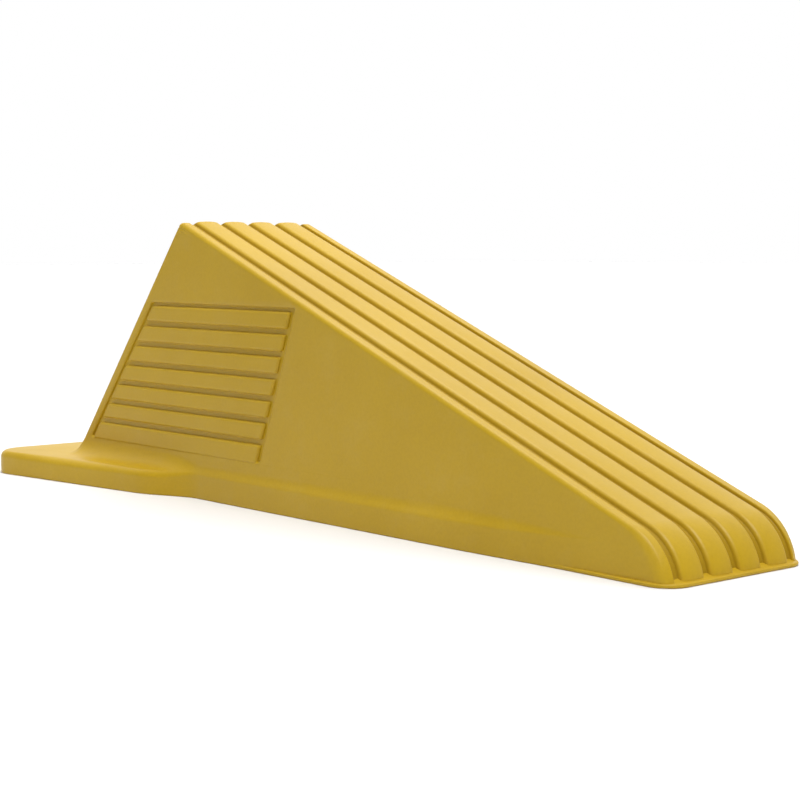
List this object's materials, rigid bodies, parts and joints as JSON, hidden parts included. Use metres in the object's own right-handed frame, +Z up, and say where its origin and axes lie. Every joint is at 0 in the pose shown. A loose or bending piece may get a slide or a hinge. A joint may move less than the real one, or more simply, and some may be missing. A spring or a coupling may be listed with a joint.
{
  "type": "rubber door wedge",
  "caption": "Long moulded rubber door wedge: ribbed ramp with a blunt rounded toe, raked heel, ribbed grips on both sides, and a thin foot plate that splays into a heel tab.",
  "frame": {"origin": "on the floor, at the middle of the sole's bounding box", "axes": "+X along the length towards the toe, +Y across to the left side, +Z up"},
  "size_m": [0.174, 0.0508, 0.0508],
  "materials": {
    "yellow_rubber": "satin"
  },
  "bodies": {
    "root": {"foot_plate": "yellow_rubber", "wedge_body": "yellow_rubber", "ramp_rib_1": "yellow_rubber", "ramp_rib_2": "yellow_rubber", "ramp_rib_3": "yellow_rubber", "ramp_rib_4": "yellow_rubber", "edge_bead_right": "yellow_rubber", "edge_bead_left": "yellow_rubber", "side_grip_right": "yellow_rubber", "side_grip_left": "yellow_rubber"}
  },
  "joints": []
}
